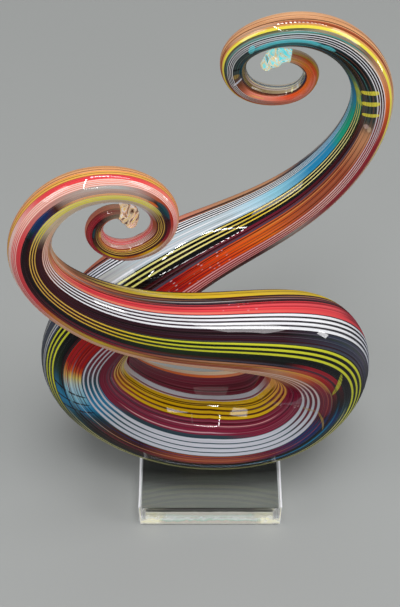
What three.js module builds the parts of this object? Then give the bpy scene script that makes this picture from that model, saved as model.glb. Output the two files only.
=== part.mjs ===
// Striped glass sculpture. A solid glass rod, thick in the middle and tapered to both ends, carries
// drawn glass canes laid lengthwise round a clear core. It is bent into one upright loop. The two
// arms cross without touching, one in front and one behind, and each rolls up into a curl. The loop
// stands on a clear glass block, held by a thin film of adhesive.
// Millimetres, +Z up, the front is -Y. The origin is the middle of the block's underside.
import * as THREE from "three";

// Base block and adhesive film
const BLOCK_WIDTH = 59;
const BLOCK_DEPTH = 58;
const BLOCK_HEIGHT = 15;
const BLOCK_BEVEL = 0.9;
const FILM_LENGTH = 26;
const FILM_WIDTH = 15;
const FILM_THICKNESS = 0.3;
const FILM_SIDES = 32;
const FILM_CLEARANCE = 0.05;

// Rod: its diameter at the bottom of the loop, and how the canes sit on the core. The thickness,
// the seam and the glass between the core and a cane shrink with the rod, as drawn glass does.
const ROD_DIAMETER = 39.8;
const CANE_THICKNESS_SHARE = 0.12;
const SEAM_SHARE = 0.036;
const SIDE_GAP_DEGREES = 1.0;
const WIDEST_CHORD_DEGREES = 22.5;
const CORE_SIDES = 18;
const TIP_DOME_RINGS = 3;

// How finely the rod is divided along its length
const LONGEST_STEP = 30;
const LARGEST_TURN_DEGREES = 42;
const LARGEST_BOW = 1.0;
const PATH_SAMPLES = 1600;

// Main sizes of the bent rod, along its centre line
const LOOP_WIDTH = 88.4;
const CURL_HEIGHT = 151.9;
const CURL_DEPTH = 33.2;

// Each arm starts at the bottom of the loop. Places along it are shares of the main sizes: reach is
// measured sideways from the middle plane in loop widths, rise upwards from the rod's centre at the
// bottom in curl heights, and depth towards the arm's own side of the loop in curl depths. The curl
// drifts that way by its drift share in a turn, and leans with the given slope. Diameters, the
// curl's radius and the bare length, by which the canes end short of the tip, are in millimetres.
// Twists pair a share of the arm's length with the degrees that the canes have turned there. The
// back arm is the same kind of shape turned half round the vertical axis.
const FRONT_ARM = {
  facing: 1,
  loopReachShare: 0.446,
  loopRiseShare: 0.23,
  loopDiameter: 40.5,
  shoulderReachShare: 0.32,
  shoulderRiseShare: 0.465,
  shoulderDepthShare: 0.296,
  shoulderDiameter: 33,
  crossingRiseShare: 0.563,
  crossingDepthShare: 0.557,
  crossingDiameter: 26.3,
  armReachShare: 0.43,
  armRiseShare: 0.745,
  armDepthShare: 0.931,
  armDiameter: 19.3,
  curlReachShare: 0.311,
  curlRiseShare: 0.995,
  curlDepthShare: 0.991,
  curlDriftShare: -0.078,
  curlLean: 0.123,
  curlRadius: 24.7,
  curlSquash: 1.034,
  curlShrinkPerTurn: 0.278,
  curlTurns: 1.523,
  curlDiameter: 12.2,
  curlThinningPerTurn: 0.421,
  bareLength: 7,
  twists: [
    [0, 0], [0.186, -6], [0.263, -10], [0.325, -8], [0.465, 0], [0.595, 13], [0.673, 26], [0.744, 29],
    [0.812, 26], [0.852, 13], [0.883, -5], [0.93, 5], [1, 5],
  ],
};
const BACK_ARM = {
  facing: -1,
  loopReachShare: 0.536,
  loopRiseShare: 0.314,
  loopDiameter: 32.4,
  shoulderReachShare: 0.316,
  shoulderRiseShare: 0.498,
  shoulderDepthShare: 0.244,
  shoulderDiameter: 31.7,
  crossingRiseShare: 0.574,
  crossingDepthShare: 0.598,
  crossingDiameter: 25.8,
  armReachShare: 0.388,
  armRiseShare: 0.701,
  armDepthShare: 0.85,
  armDiameter: 19.6,
  curlReachShare: 0.252,
  curlRiseShare: 1.007,
  curlDepthShare: 1.003,
  curlDriftShare: 0.054,
  curlLean: -0.033,
  curlRadius: 27.7,
  curlSquash: 0.812,
  curlShrinkPerTurn: 0.329,
  curlTurns: 1.446,
  curlDiameter: 13,
  curlThinningPerTurn: 0.397,
  bareLength: 9,
  twists: [
    [0, 0], [0.146, -1], [0.19, -6], [0.24, -13], [0.328, 5], [0.439, 6], [0.585, 4], [0.658, 8],
    [0.731, 1], [0.775, -5], [0.825, -3], [0.892, -12], [1, -12],
  ],
};
const CURL_STATIONS = 10;
const LOW_SIDE_ANGLE = Math.PI / 4;
const LOW_SIDE_FULLNESS = 0.57;

// Canes round the rod. Angles are in degrees: 0 is the outside of the loop, 90 the front, 180 the
// inside and 270 the back. Each cane or set runs between its bottom angles at the bottom of the loop
// and gradually shifts to its front and back angles on the two arms. A set is divided into equal
// threads.
const THREAD_SHARE = 0.5;
const CANES = [
  { name: "aubergine_ribbon", color: 0x2d0f1a,
    back: [15, 36], bottom: [27, 46], front: [18, 35] },
  { name: "yellow_thread", threads: 3, color: 0xd8d020,
    back: [36, 54], bottom: [46, 66], front: [35, 55] },
  { name: "teal_ribbon", color: 0x0c3038,
    back: [54, 58], bottom: [66, 76], front: [55, 62] },
  { name: "maroon_ribbon", color: 0x571018,
    back: [58, 69], bottom: [76, 88], front: [62, 76] },
  { name: "orange_ribbon", color: 0xd4481a,
    back: [69, 97], bottom: [88, 102], front: [76, 88] },
  { name: "lower_white_thread", threads: 4, color: 0xf4f0f0,
    back: [97, 119], bottom: [102, 127], front: [88, 109] },
  { name: "ruby_ribbon", color: 0x7a1430,
    back: [119, 139], bottom: [127, 149], front: [109, 122] },
  { name: "golden_thread", threads: 3, color: 0xe0a80c,
    back: [139, 155], bottom: [149, 165], front: [122, 137] },
  { name: "amber_ribbon", color: 0xb8682a,
    back: [155, 165], bottom: [165, 170], front: [137, 152] },
  { name: "pale_ribbon", color: 0xe8d0cc,
    back: [165, 180], bottom: [170, 177], front: [152, 165] },
  { name: "wine_ribbon", color: 0x561022,
    back: [180, 212], bottom: [177, 206], front: [165, 200] },
  { name: "ivory_ribbon", color: 0xe4cdb4,
    back: [212, 230], bottom: [206, 232], front: [200, 225] },
  { name: "umber_ribbon", color: 0x5a3016,
    back: [230, 255], bottom: [232, 264], front: [225, 256] },
  { name: "smoke_ribbon", color: 0x565252,
    back: [255, 285], bottom: [264, 306], front: [256, 300] },
  { name: "gold_thread", threads: 2, color: 0xe0c41c,
    back: [285, 305], bottom: [306, 322], front: [300, 323] },
  { name: "plum_ribbon", color: 0x2e1020,
    back: [305, 325], bottom: [322, 331], front: [323, 338] },
  { name: "coral_ribbon", color: 0xd0353a,
    back: [325, 358], bottom: [331, 360], front: [338, 355] },
  { name: "upper_white_thread", threads: 4, color: 0xf4f4f4,
    back: [358, 375], bottom: [360, 387], front: [355, 378] },
];

const FILM_TOP = BLOCK_HEIGHT + FILM_CLEARANCE + FILM_THICKNESS;
const LOOP_BOTTOM = FILM_TOP + FILM_CLEARANCE + ROD_DIAMETER / 2;
const radians = THREE.MathUtils.degToRad;

function glass(color, opacity = 1) {
  return new THREE.MeshStandardMaterial({
    color,
    roughness: 0.08,
    metalness: 0,
    transparent: opacity < 1,
    opacity,
  });
}

// Stations of one arm from the bottom of the loop to the tip: x, y, z and the rod's diameter.
function armStations(arm) {
  const station = (reach, depth, rise, diameter) => new THREE.Vector4(
    arm.facing * reach * LOOP_WIDTH,
    -arm.facing * depth * CURL_DEPTH,
    LOOP_BOTTOM + rise * CURL_HEIGHT,
    diameter,
  );
  const stations = [
    station(arm.loopReachShare * Math.sin(LOW_SIDE_ANGLE), 0,
      arm.loopRiseShare * (1 - Math.cos(LOW_SIDE_ANGLE)),
      THREE.MathUtils.lerp(arm.loopDiameter, ROD_DIAMETER, LOW_SIDE_FULLNESS)),
    station(arm.loopReachShare, 0, arm.loopRiseShare, arm.loopDiameter),
    station(arm.shoulderReachShare, arm.shoulderDepthShare, arm.shoulderRiseShare, arm.shoulderDiameter),
    station(0, arm.crossingDepthShare, arm.crossingRiseShare, arm.crossingDiameter),
    station(-arm.armReachShare, arm.armDepthShare, arm.armRiseShare, arm.armDiameter),
  ];
  for (let i = 0; i <= CURL_STATIONS; i += 1) {
    const turns = (arm.curlTurns * i) / CURL_STATIONS;
    const angle = 2 * Math.PI * turns;
    const radius = arm.curlRadius * arm.curlShrinkPerTurn ** turns;
    const reach = radius * Math.cos(angle);
    stations.push(station(
      -arm.curlReachShare - reach / LOOP_WIDTH,
      arm.curlDepthShare + (arm.curlLean * reach) / CURL_DEPTH + arm.curlDriftShare * turns,
      arm.curlRiseShare + (arm.curlSquash * radius * Math.sin(angle)) / CURL_HEIGHT,
      arm.curlDiameter * arm.curlThinningPerTurn ** turns,
    ));
  }
  return stations;
}

// Smooth curve through the stations with continuous curvature (a natural cubic spline whose knots
// are spaced by the distance between stations). Returns knots and a function of the knot value.
function smoothCurve(stations) {
  const knots = [0];
  for (let i = 1; i < stations.length; i += 1) {
    const a = stations[i - 1];
    const b = stations[i];
    knots.push(knots[i - 1] + Math.hypot(b.x - a.x, b.y - a.y, b.z - a.z));
  }
  const bends = stations.map(() => new THREE.Vector4(0, 0, 0, 0));
  const weights = stations.map(() => 0);
  const slope = (i) => stations[i + 1].clone().sub(stations[i]).divideScalar(knots[i + 1] - knots[i]);
  for (let i = 1; i < stations.length - 1; i += 1) {
    const before = knots[i] - knots[i - 1];
    const after = knots[i + 1] - knots[i];
    const pivot = 2 * (before + after) - before * weights[i - 1];
    weights[i] = after / pivot;
    bends[i].copy(slope(i).sub(slope(i - 1)).multiplyScalar(6));
    bends[i].addScaledVector(bends[i - 1], -before).divideScalar(pivot);
  }
  for (let i = stations.length - 2; i > 0; i -= 1) {
    bends[i].addScaledVector(bends[i + 1], -weights[i]);
  }
  const at = (value) => {
    let i = 0;
    while (i < knots.length - 2 && value > knots[i + 1]) i += 1;
    const span = knots[i + 1] - knots[i];
    const b = (value - knots[i]) / span;
    const a = 1 - b;
    return stations[i].clone().multiplyScalar(a)
      .addScaledVector(stations[i + 1], b)
      .addScaledVector(bends[i], ((a ** 3 - a) * span ** 2) / 6)
      .addScaledVector(bends[i + 1], ((b ** 3 - b) * span ** 2) / 6);
  };
  return { knots, at };
}

// The whole rod, from the back curl's tip through the loop's bottom to the front curl's tip.
function rodCurve() {
  const back = armStations(BACK_ARM).reverse();
  const bottom = new THREE.Vector4(0, 0, LOOP_BOTTOM, ROD_DIAMETER);
  const curve = smoothCurve([...back, bottom, ...armStations(FRONT_ARM)]);
  return { ...curve, middle: curve.knots[back.length] };
}

function pointOf(station) {
  return new THREE.Vector3(station.x, station.y, station.z);
}

// Sections across the rod, each with its centre, direction and radius, as close together as the
// bend needs: an arc bows out of its chord by about its length times its turn over eight. Walks
// from the bottom of the loop to one tip, with a section where the canes end.
function halfSections(curve, end, bareLength) {
  const length = Math.abs(end - curve.middle);
  const step = (end - curve.middle) / PATH_SAMPLES;
  const direction = (value) =>
    pointOf(curve.at(value + step / 2)).sub(pointOf(curve.at(value - step / 2))).normalize();
  const section = (value, along) => {
    const station = curve.at(value);
    return {
      along,
      centre: pointOf(station),
      direction: direction(value),
      radius: station.w / 2,
      striped: along <= length - bareLength,
    };
  };
  const sections = [section(curve.middle, 0)];
  for (let i = 1; i <= PATH_SAMPLES; i += 1) {
    const value = curve.middle + i * step;
    const along = (i * length) / PATH_SAMPLES;
    const last = sections[sections.length - 1];
    const turned = last.direction.angleTo(direction(value));
    const outerArc = along - last.along + turned * last.radius;
    const far = along - last.along > LONGEST_STEP || turned > radians(LARGEST_TURN_DEGREES)
      || (turned * outerArc) / 8 > LARGEST_BOW;
    const canesEnd = last.striped && along + Math.abs(step) > length - bareLength;
    if (far || canesEnd || i === PATH_SAMPLES) sections.push(section(value, along));
  }
  return sections;
}

// Carries the outward direction (angle 0) along the rod without spin, by two reflections a step.
function carryOutward(sections, outward) {
  sections[0].outward = outward.clone();
  for (let i = 1; i < sections.length; i += 1) {
    const from = sections[i - 1];
    const to = sections[i];
    const chord = to.centre.clone().sub(from.centre).normalize();
    const mirror = (vector) => vector.clone().addScaledVector(chord, -2 * vector.dot(chord));
    const normal = to.direction.clone().sub(mirror(from.direction)).normalize();
    const carried = mirror(from.outward);
    to.outward = carried.addScaledVector(normal, -2 * carried.dot(normal)).normalize();
  }
}

// Twist of the canes at a share of an arm's length: a smooth curve through the arm's twists.
function twistAt(twists, share) {
  let i = 0;
  while (i < twists.length - 2 && share > twists[i + 1][0]) i += 1;
  const slope = (k) => {
    if (k === 0 || k === twists.length - 1) return 0;
    return (twists[k + 1][1] - twists[k - 1][1]) / (twists[k + 1][0] - twists[k - 1][0]);
  };
  const span = twists[i + 1][0] - twists[i][0];
  const t = (share - twists[i][0]) / span;
  const rest = 1 - t;
  return twists[i][1] * rest * rest * (1 + 2 * t) + twists[i + 1][1] * t * t * (1 + 2 * rest)
    + span * t * rest * (slope(i) * rest - slope(i + 1) * t);
}

// All sections from tip to tip. Their shift runs from 0 at the bottom of the loop to 1 where the
// arms cross, and says how far the canes have shifted from their bottom angles to their arm's.
function rodSections() {
  const curve = rodCurve();
  const down = new THREE.Vector3(0, 0, -1);
  const front = halfSections(curve, curve.knots[curve.knots.length - 1], FRONT_ARM.bareLength);
  const back = halfSections(curve, curve.knots[0], BACK_ARM.bareLength);
  for (const half of [front, back]) carryOutward(half, down);
  const shiftLength = (arm) => 2 * arm.loopRiseShare * CURL_HEIGHT + arm.loopReachShare * LOOP_WIDTH
    + arm.crossingDepthShare * CURL_DEPTH;
  const layOut = (half, arm, side) => {
    const length = half[half.length - 1].along;
    for (const section of half) {
      section.side = side;
      section.shift = Math.min(section.along / shiftLength(arm), 1);
      section.twist = twistAt(arm.twists, section.along / length);
    }
  };
  layOut(front, FRONT_ARM, "front");
  layOut(back, BACK_ARM, "back");
  back.forEach((section) => section.direction.negate());
  const sections = [...back.slice(1).reverse(), ...front];
  for (const section of sections) {
    section.forward = section.outward.clone().cross(section.direction).normalize();
  }
  return sections;
}

// Point at an angle round a section, at a share of the rod's radius.
function around(section, degrees, share) {
  const angle = radians(degrees);
  return section.centre.clone()
    .addScaledVector(section.outward, Math.cos(angle) * share * section.radius)
    .addScaledVector(section.forward, Math.sin(angle) * share * section.radius);
}

// Closed solid from equal rings of points, each joined to the next, with a fan over both ends.
function sweep(rings) {
  const size = rings[0].length;
  const positions = rings.flat().flatMap((point) => point.toArray());
  const triangles = [];
  for (let r = 0; r + 1 < rings.length; r += 1) {
    for (let i = 0; i < size; i += 1) {
      const a = r * size + i;
      const b = r * size + ((i + 1) % size);
      triangles.push([a, b, b + size], [a, b + size, a + size]);
    }
  }
  const lastRing = (rings.length - 1) * size;
  for (let i = 1; i + 1 < size; i += 1) {
    triangles.push([0, i + 1, i], [lastRing, lastRing + i, lastRing + i + 1]);
  }
  return outwardFacing(positions, triangles);
}

function outwardFacing(positions, triangles) {
  const corner = (i) => new THREE.Vector3().fromArray(positions, 3 * i);
  const volume = triangles.reduce(
    (sum, [a, b, c]) => sum + corner(a).dot(corner(b).cross(corner(c))), 0);
  const faces = volume < 0 ? triangles.map(([a, b, c]) => [a, c, b]) : triangles;
  const geometry = new THREE.BufferGeometry();
  geometry.setAttribute("position", new THREE.Float32BufferAttribute(positions, 3));
  geometry.setIndex(faces.flat());
  geometry.computeVertexNormals();
  return geometry;
}

// Clear core: slimmer where it carries canes, full size at the bare ends, with rounded tips.
function coreGeometry(sections) {
  const slim = 1 - CANE_THICKNESS_SHARE - SEAM_SHARE;
  const ring = (section, share) =>
    Array.from({ length: CORE_SIDES }, (_, i) => around(section, (360 * i) / CORE_SIDES, share));
  const rings = sections.map((section) => ring(section, section.striped ? slim : 1));
  const dome = (section, outwards) => {
    const domeRings = [];
    for (let i = 1; i <= TIP_DOME_RINGS; i += 1) {
      const angle = (i / (TIP_DOME_RINGS + 1)) * (Math.PI / 2);
      const shift = section.direction.clone()
        .multiplyScalar(outwards * Math.sin(angle) * section.radius);
      domeRings.push(ring(section, Math.cos(angle)).map((point) => point.add(shift)));
    }
    return domeRings;
  };
  const start = dome(sections[0], -1).reverse();
  return sweep([...start, ...rings, ...dome(sections[sections.length - 1], 1)]);
}

// One cane: a strip of the layer round the core, between two shares of its set's angles. A wide one
// is bent over as many chords as keep it clear of the core.
function caneGeometry(striped, cane, from, to, gap) {
  const widest = Math.max(...[cane.back, cane.bottom, cane.front].map(([a, b]) => b - a)) * (to - from);
  const chords = Math.ceil(widest / WIDEST_CHORD_DEGREES);
  const rings = striped.map((section) => {
    const edge = (end) => section.twist
      + THREE.MathUtils.lerp(cane.bottom[end], cane[section.side][end], section.shift);
    const start = THREE.MathUtils.lerp(edge(0), edge(1), from) + gap / 2;
    const stop = THREE.MathUtils.lerp(edge(0), edge(1), to) - gap / 2;
    const angle = (i) => THREE.MathUtils.lerp(start, stop, i / chords);
    const outer = Array.from({ length: chords + 1 }, (_, i) => around(section, angle(i), 1));
    const inner = outer.map((_, i) => around(section, angle(chords - i), 1 - CANE_THICKNESS_SHARE));
    return [...outer.slice(1), ...inner, outer[0]];
  });
  return sweep(rings);
}

function addCanes(group, striped) {
  for (const cane of CANES) {
    const add = (name, geometry) => {
      const mesh = new THREE.Mesh(geometry, glass(cane.color));
      mesh.name = name;
      group.add(mesh);
    };
    if (!cane.threads) {
      add(cane.name, caneGeometry(striped, cane, 0, 1, SIDE_GAP_DEGREES));
      continue;
    }
    for (let i = 0; i < cane.threads; i += 1) {
      const from = (i + (1 - THREAD_SHARE) / 2) / cane.threads;
      const to = from + THREAD_SHARE / cane.threads;
      add(`${cane.name}_${i + 1}`, caneGeometry(striped, cane, from, to, 0));
    }
  }
}

// Block: a rectangular plate of clear glass with narrow ground bevels along all its edges.
function blockGeometry() {
  const outline = (inset) => {
    const x = BLOCK_WIDTH / 2 - inset;
    const y = BLOCK_DEPTH / 2 - inset;
    const cut = BLOCK_BEVEL;
    return [
      [x, y - cut], [x - cut, y], [cut - x, y], [-x, y - cut],
      [-x, cut - y], [cut - x, -y], [x - cut, -y], [x, cut - y],
    ];
  };
  const level = (inset, z) => outline(inset).map(([x, y]) => new THREE.Vector3(x, y, z));
  return sweep([
    level(BLOCK_BEVEL, 0),
    level(0, BLOCK_BEVEL),
    level(0, BLOCK_HEIGHT - BLOCK_BEVEL),
    level(BLOCK_BEVEL, BLOCK_HEIGHT),
  ]);
}

// Film: a thin oval of set adhesive on the block, under the lowest part of the rod.
function filmGeometry() {
  const film = new THREE.CylinderGeometry(0.5, 0.5, FILM_THICKNESS, FILM_SIDES);
  film.rotateX(Math.PI / 2);
  film.scale(FILM_LENGTH, FILM_WIDTH, 1);
  return film;
}

function buildSculpture() {
  const sculpture = new THREE.Group();
  const block = new THREE.Mesh(blockGeometry(), glass(0xdce6e4, 0.4));
  block.name = "base_block";
  const film = new THREE.Mesh(filmGeometry(), glass(0xf2f4f2, 0.4));
  film.name = "adhesive_film";
  film.position.z = BLOCK_HEIGHT + FILM_CLEARANCE + FILM_THICKNESS / 2;

  const sections = rodSections();
  const core = new THREE.Mesh(coreGeometry(sections), glass(0xeef2f2, 0.4));
  core.name = "clear_core";
  sculpture.add(block, film, core);
  addCanes(sculpture, sections.filter((section) => section.striped));
  return sculpture;
}

export default buildSculpture();
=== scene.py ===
"""Striped glass sculpture: a thick glass rod in one loop with two curled ends, on a clear block."""

import math

import bmesh
import bpy
from bpy.props import FloatProperty, FloatVectorProperty, IntProperty, PointerProperty
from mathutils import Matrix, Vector


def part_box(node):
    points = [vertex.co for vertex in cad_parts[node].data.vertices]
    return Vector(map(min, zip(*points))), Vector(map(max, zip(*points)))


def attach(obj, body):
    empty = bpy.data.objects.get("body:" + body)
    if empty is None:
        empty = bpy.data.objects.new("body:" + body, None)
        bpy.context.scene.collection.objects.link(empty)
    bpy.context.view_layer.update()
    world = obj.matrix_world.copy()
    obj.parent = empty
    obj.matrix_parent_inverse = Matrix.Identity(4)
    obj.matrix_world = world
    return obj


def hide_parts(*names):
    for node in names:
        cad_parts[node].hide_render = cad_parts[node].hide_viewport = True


bl_info = {
    "name": "Striped Glass Sculpture",
    "version": (1, 0, 0),
    "blender": (4, 5, 0),
    "location": "3D View > Sidebar > Glass",
    "description": "Builds a looped, striped glass rod with curled ends on a clear glass block",
    "category": "Add Mesh",
}

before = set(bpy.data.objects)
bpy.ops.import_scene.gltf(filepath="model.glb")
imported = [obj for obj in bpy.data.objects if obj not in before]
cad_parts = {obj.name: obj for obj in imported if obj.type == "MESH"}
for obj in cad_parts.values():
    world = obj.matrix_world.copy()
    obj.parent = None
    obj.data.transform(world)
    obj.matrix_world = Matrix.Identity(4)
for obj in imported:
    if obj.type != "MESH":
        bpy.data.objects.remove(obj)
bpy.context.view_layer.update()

# Arms of the rod from the bottom of the loop. A place is its reach, depth and rise, as shares of
# the loop's width, the curls' depth and the curls' height, and the rod's diameter in metres.
# Twists pair a share of the arm's length with degrees.
FRONT_ARM = {
    "facing": 1,
    "loop": (0.446, 0.0, 0.23, 0.0405),
    "shoulder": (0.32, 0.296, 0.465, 0.033),
    "crossing": (0.0, 0.557, 0.563, 0.0263),
    "arm": (-0.43, 0.931, 0.745, 0.0193),
    "curl": (0.311, 0.991, 0.995, 0.0122),
    "curl_drift": -0.078,
    "curl_lean": 0.123,
    "curl_radius": 0.0247,
    "curl_squash": 1.034,
    "curl_shrink": 0.278,
    "curl_turns": 1.523,
    "curl_thinning": 0.421,
    "bare_length": 0.007,
    "twists": [
        (0, 0), (0.186, -6), (0.263, -10), (0.325, -8), (0.465, 0), (0.595, 13), (0.673, 26),
        (0.744, 29), (0.812, 26), (0.852, 13), (0.883, -5), (0.93, 5), (1, 5),
    ],
}
BACK_ARM = {
    "facing": -1,
    "loop": (0.536, 0.0, 0.314, 0.0324),
    "shoulder": (0.316, 0.244, 0.498, 0.0317),
    "crossing": (0.0, 0.598, 0.574, 0.0258),
    "arm": (-0.388, 0.85, 0.701, 0.0196),
    "curl": (0.252, 1.003, 1.007, 0.013),
    "curl_drift": 0.054,
    "curl_lean": -0.033,
    "curl_radius": 0.0277,
    "curl_squash": 0.812,
    "curl_shrink": 0.329,
    "curl_turns": 1.446,
    "curl_thinning": 0.397,
    "bare_length": 0.009,
    "twists": [
        (0, 0), (0.146, -1), (0.19, -6), (0.24, -13), (0.328, 5), (0.439, 6), (0.585, 4),
        (0.658, 8), (0.731, 1), (0.775, -5), (0.825, -3), (0.892, -12), (1, -12),
    ],
}
CURL_STATIONS = 10
LOW_SIDE_ANGLE = math.pi / 4
LOW_SIDE_FULLNESS = 0.57
PATH_SAMPLES = 1600
SEAM_SHARE = 0.036
CORE_SIDES = 36
DEGREES_A_CHORD = 6.0
FILM_CLEARANCE = 0.00005
FLOOR_REACH = 3.0
FLOOR_DROP = 0.0001

# The bare tips: a neck and a swelling as a share of the radius, metres behind the end, spread.
TIP_DOME_RINGS = 6
TIP_NECK = (0.14, 0.0022, 0.0012)
TIP_SWELL = (0.7, 0.0032, 0.0029)

# The stretch along the rod that the colours of the canes are laid out on, in millimetres from the
# bottom of the loop: minus on the back arm and plus on the front arm.
ALONG_START = -345.0
ALONG_END = 325.0
# The middle of the canes and how far they reach from it, as shares of that length, and how fast
# they pale towards their ends.
CANES_MIDDLE = 0.502
CANES_REACH = 0.4764
CANES_PALING = 133.0
# Shares by which the drawn glass differs from its canes' plain colours.
BRIGHT_STRANDS = 0.4
BRIGHT_STRAND_PALENESS = 0.35
DARK_STRANDS = 0.7
DARK_STRAND_DEPTH = 0.8
STREAK_DEPTH = 0.8
LINE_STRENGTH = 0.9
LINE_WAVER = 0.05
BUBBLE_STRENGTH = 0.7
# Share of its own colour that a cane's glass gives off as a painted glow, which lifts its shaded
# sides.
PAINTED_GLOW = 0.1
# Share of the gloss that is gone where the rod turns away from view.
EDGE_GLOSS_LOSS = 0.95
# Patches with a half width of more degrees than this have blunt ends.
BLUNT_HALF_WIDTH = 20
# Steps of the random patterns from one cane to the next.
STREAK_STEP = 3.7
STRAND_STEP = 1.9

# The block: metres up its sides where a painted greener shade starts, where its painted reflection
# bands start, and metres out from its middle where the painted bright corners start.
PAINTED_GREEN_SHADE_FROM = 0.0078
BANDS_FROM = 0.001
CORNERS_FROM = 0.019
# Strengths of the painted greener shade, the pale ground edges, the painted reflection bands and
# the painted bright corners.
PAINTED_GREEN_SHADE_STRENGTH = 0.45
EDGE_STRENGTH = 0.6
BAND_STRENGTH = 0.3
CORNER_STRENGTH = 0.5

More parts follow.
